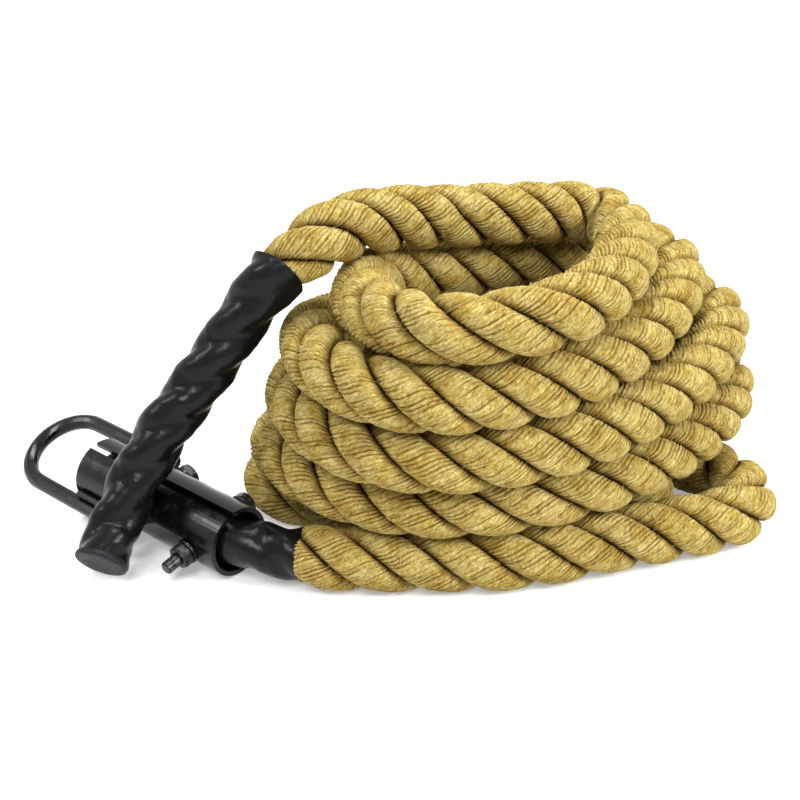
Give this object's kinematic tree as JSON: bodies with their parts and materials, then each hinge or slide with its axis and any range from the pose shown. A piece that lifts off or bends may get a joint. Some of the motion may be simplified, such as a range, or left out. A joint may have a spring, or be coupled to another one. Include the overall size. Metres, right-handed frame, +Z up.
{
  "type": "climbing rope",
  "caption": "Thick laid gym climbing rope lying in a coil, its free end in a black sleeve and its upper end bolted in a steel tube clamp with a welded hanging bail.",
  "frame": {"origin": "on the floor, under the middle of the whole part's box as it lies in the picture", "axes": "+Z up, +X from the clamp and free end towards the wide end of the coil, -Y towards the picture's viewer"},
  "size_m": [0.4864, 0.2635, 0.2184],
  "materials": {
    "rope": "matte natural fibre, golden tan, hairy laid yarns",
    "heat_shrink": "glossy black shrunk sleeve",
    "clamp_paint": "glossy black paint on steel",
    "fastener_steel": "blackened steel, half gloss"
  },
  "bodies": {
    "root": {"rope_coil": "rope", "rope_free_tail": "rope", "rope_clamp_tail": "rope", "free_end_sleeve": "heat_shrink", "clamp_end_sleeve": "heat_shrink", "clamp_tube": "clamp_paint", "hanging_bail": "clamp_paint", "weld_upper_front": "clamp_paint", "weld_upper_back": "clamp_paint", "weld_lower_front": "clamp_paint", "weld_lower_back": "clamp_paint", "bolt_bail_side": "fastener_steel", "bolt_rope_side": "fastener_steel", "nut_bail_side": "fastener_steel", "nut_rope_side": "fastener_steel", "washer_bail_side_head": "fastener_steel", "washer_bail_side_nut": "fastener_steel", "washer_rope_side_head": "fastener_steel", "washer_rope_side_nut": "fastener_steel"}
  },
  "joints": []
}
